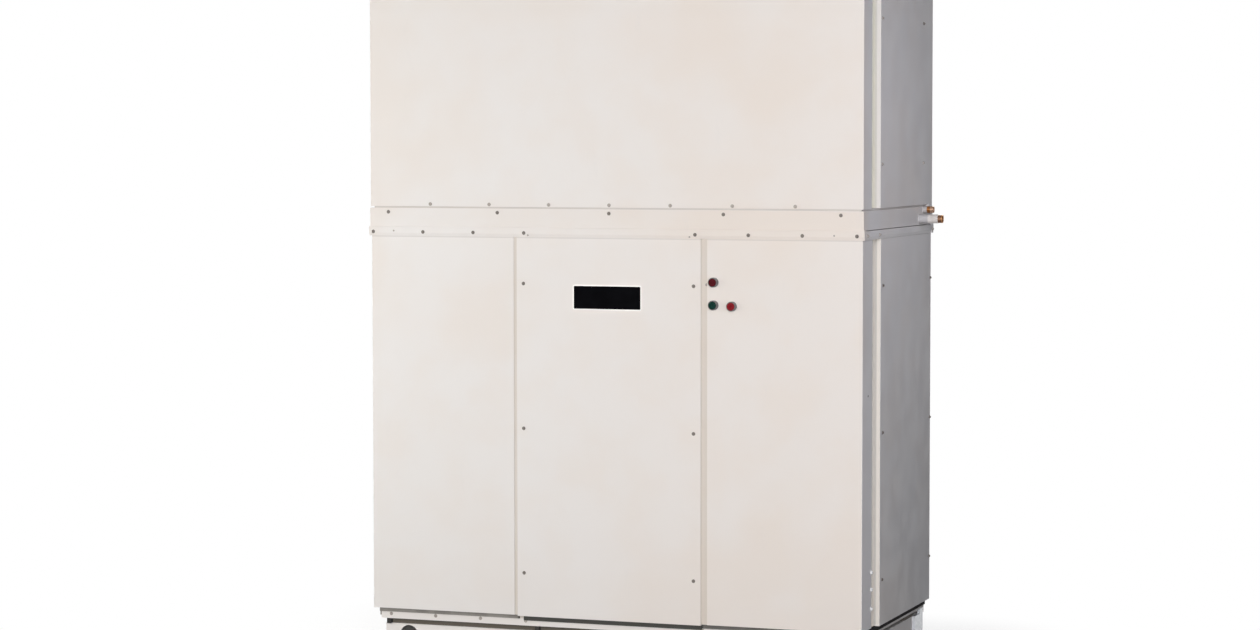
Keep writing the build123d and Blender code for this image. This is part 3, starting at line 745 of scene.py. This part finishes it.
def base_pads():
    """Dark pads between the front rail and the skirt. Those at the corners reach back to the beam and stand
    as painted shade in the deep corners of that gap.
    """
    mesh = bmesh.new()
    front = skirt_face_y + pad_set_back
    pads = ((corner_pad_x, corner_pad_depth), (inner_pad_x, inner_pad_depth))
    for side in (-1, 1):
        for x, depth in pads:
            size = Matrix.Diagonal((pad_width, depth, skirt_bottom - rail_top, 1.0))
            place = Matrix.Translation((side * x, front + depth / 2, (skirt_bottom + rail_top) / 2))
            bmesh.ops.create_cube(mesh, size=1.0, matrix=place @ size)
    mesh_piece("base_pads", mesh, "dark_pad")


front_screws()
side_screws()
back_screws()
roof_screws()
bare_plate()
small_studs()
base_pads()


# Floor, world, lamps and camera
def seen_directly(nodes):
    """1 for rays that show the surroundings: from the camera, in a gloss, or through glass."""
    rays = nodes.add("ShaderNodeLightPath").outputs
    in_gloss = nodes.maths("MAXIMUM", rays["Is Camera Ray"], rays["Is Glossy Ray"])
    return nodes.maths("MAXIMUM", in_gloss, rays["Is Transmission Ray"])


def distance_from_base(nodes):
    """How far a place on the floor lies outside the base's rails. Its height doesn't count."""
    front_low, front_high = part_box("base_rail_front")
    rear_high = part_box("base_rail_rear")[1]
    middle = (0.0, (front_low.y + rear_high.y) / 2, 0.0)
    half_size = (front_high.x, (rear_high.y - front_low.y) / 2, 1.0)
    place = nodes.add("ShaderNodeNewGeometry").outputs["Position"]
    from_middle = nodes.vector("ABSOLUTE", nodes.vector("SUBTRACT", place, middle))
    outside = nodes.vector("MAXIMUM", nodes.vector("SUBTRACT", from_middle, half_size))
    return nodes.vector("LENGTH", outside)


def studio_floor():
    """A pale floor, white away from the cabinet, that keeps its shadow near by. Painted shade turns it
    black under the base and in a thin band round its rails. It throws little light back on the cabinet."""
    bpy.ops.mesh.primitive_plane_add(size=floor_size, location=(0, 0, 0))
    floor = bpy.context.object
    floor.name = "floor"
    material = bpy.data.materials.new("floor")
    material.use_nodes = True
    nodes = Nodes(material.node_tree)
    nodes.tree.nodes.clear()
    distance = distance_from_base(nodes)
    bounce = nodes.add("ShaderNodeBsdfDiffuse")
    nodes.fill(bounce.inputs["Color"], floor_bounce)
    grey = nodes.add("ShaderNodeBsdfDiffuse")
    grey_share = nodes.spread(distance, 0.0, floor_grey_reach)
    nodes.join(nodes.times(grey_share, floor_grey), grey.inputs["Color"])
    glow = nodes.add("ShaderNodeEmission")
    glow_share = nodes.spread(distance, 0.0, floor_glow_reach)
    nodes.join(nodes.times(glow_share, floor_glow), glow.inputs["Strength"])
    near = nodes.add("ShaderNodeAddShader")
    nodes.join(grey.outputs[0], near.inputs[0])
    nodes.join(glow.outputs[0], near.inputs[1])
    far = nodes.add("ShaderNodeEmission")
    fade = nodes.spread(distance, floor_white_from, floor_white_by)
    seen = nodes.mix_shaders(fade, near.outputs[0], far.outputs[0])
    surface = nodes.mix_shaders(seen_directly(nodes), bounce.outputs[0], seen)
    nodes.join(surface, nodes.add("ShaderNodeOutputMaterial").inputs["Surface"])
    floor.data.materials.append(material)


def studio_world():
    """White where it is seen, and a faint cool light otherwise."""
    world = bpy.data.worlds.new("studio")
    bpy.context.scene.world = world
    world.use_nodes = True
    nodes = Nodes(world.node_tree)
    colour = nodes.mix(seen_directly(nodes), world_light, white)
    nodes.join(colour, nodes.tree.nodes["Background"].inputs["Color"])


def soft_lamp(name, azimuth, elevation, distance, size, level, colour=white):
    """A square lamp that aims at the cabinet's middle. Its azimuth counts from the front towards the right.
    Both angles are in degrees. Level 1 lights a facing surface so that its colour renders as written."""
    middle = Vector((0, 0, (cad_low.z + cad_high.z) / 2))
    turn = math.radians(azimuth)
    rise = math.radians(elevation)
    away = Vector((math.sin(turn) * math.cos(rise), -math.cos(turn) * math.cos(rise), math.sin(rise)))
    data = bpy.data.lights.new(name, "AREA")
    data.size = size
    data.energy = level * (math.pi * distance) ** 2
    data.color = colour
    lamp = bpy.data.objects.new(name, data)
    lamp.location = middle + away * distance
    lamp.rotation_euler = away.to_track_quat("Z", "Y").to_euler()
    lamp.visible_camera = False
    bpy.context.scene.collection.objects.link(lamp)


def camera():
    """The photograph's camera. It looks down a little, and cuts off the cabinet's top and foot."""
    data = bpy.data.cameras.new("camera")
    data.sensor_width = camera_sensor
    data.lens = camera_focal_pixels / photo_width * camera_sensor
    item = bpy.data.objects.new("camera", data)
    azimuth = Matrix.Rotation(camera_azimuth, 4, "Z")
    pitch = Matrix.Rotation(math.pi / 2 - camera_pitch_down, 4, "X")
    roll = Matrix.Rotation(camera_roll, 4, "Z")
    item.matrix_world = Matrix.Translation(camera_place) @ azimuth @ pitch @ roll
    bpy.context.scene.collection.objects.link(item)
    bpy.context.scene.camera = item


camera()
studio_floor()
studio_world()
soft_lamp("key", 18, 6, distance=17.0, size=5.0, level=0.414, colour=(0.97, 0.975, 1.0))
soft_lamp("key_right", 30, 6, distance=7.0, size=3.0, level=0.312, colour=(0.85, 0.885, 1.0))
soft_lamp("front", -5, 10, distance=12.0, size=4.0, level=0.187, colour=(1.0, 0.89, 0.72))
soft_lamp("front_left", -50, 4, distance=4.0, size=2.0, level=0.243, colour=(0.965, 1.0, 1.0))
soft_lamp("right", 79, 20, distance=2.6, size=0.9, level=0.061, colour=(0.83, 0.84, 1.0))
soft_lamp("left", -105, 25, distance=9.0, size=3.0, level=0.45)
soft_lamp("back", 195, 25, distance=9.0, size=3.0, level=0.5)
bpy.context.scene.view_settings.view_transform = "Standard"
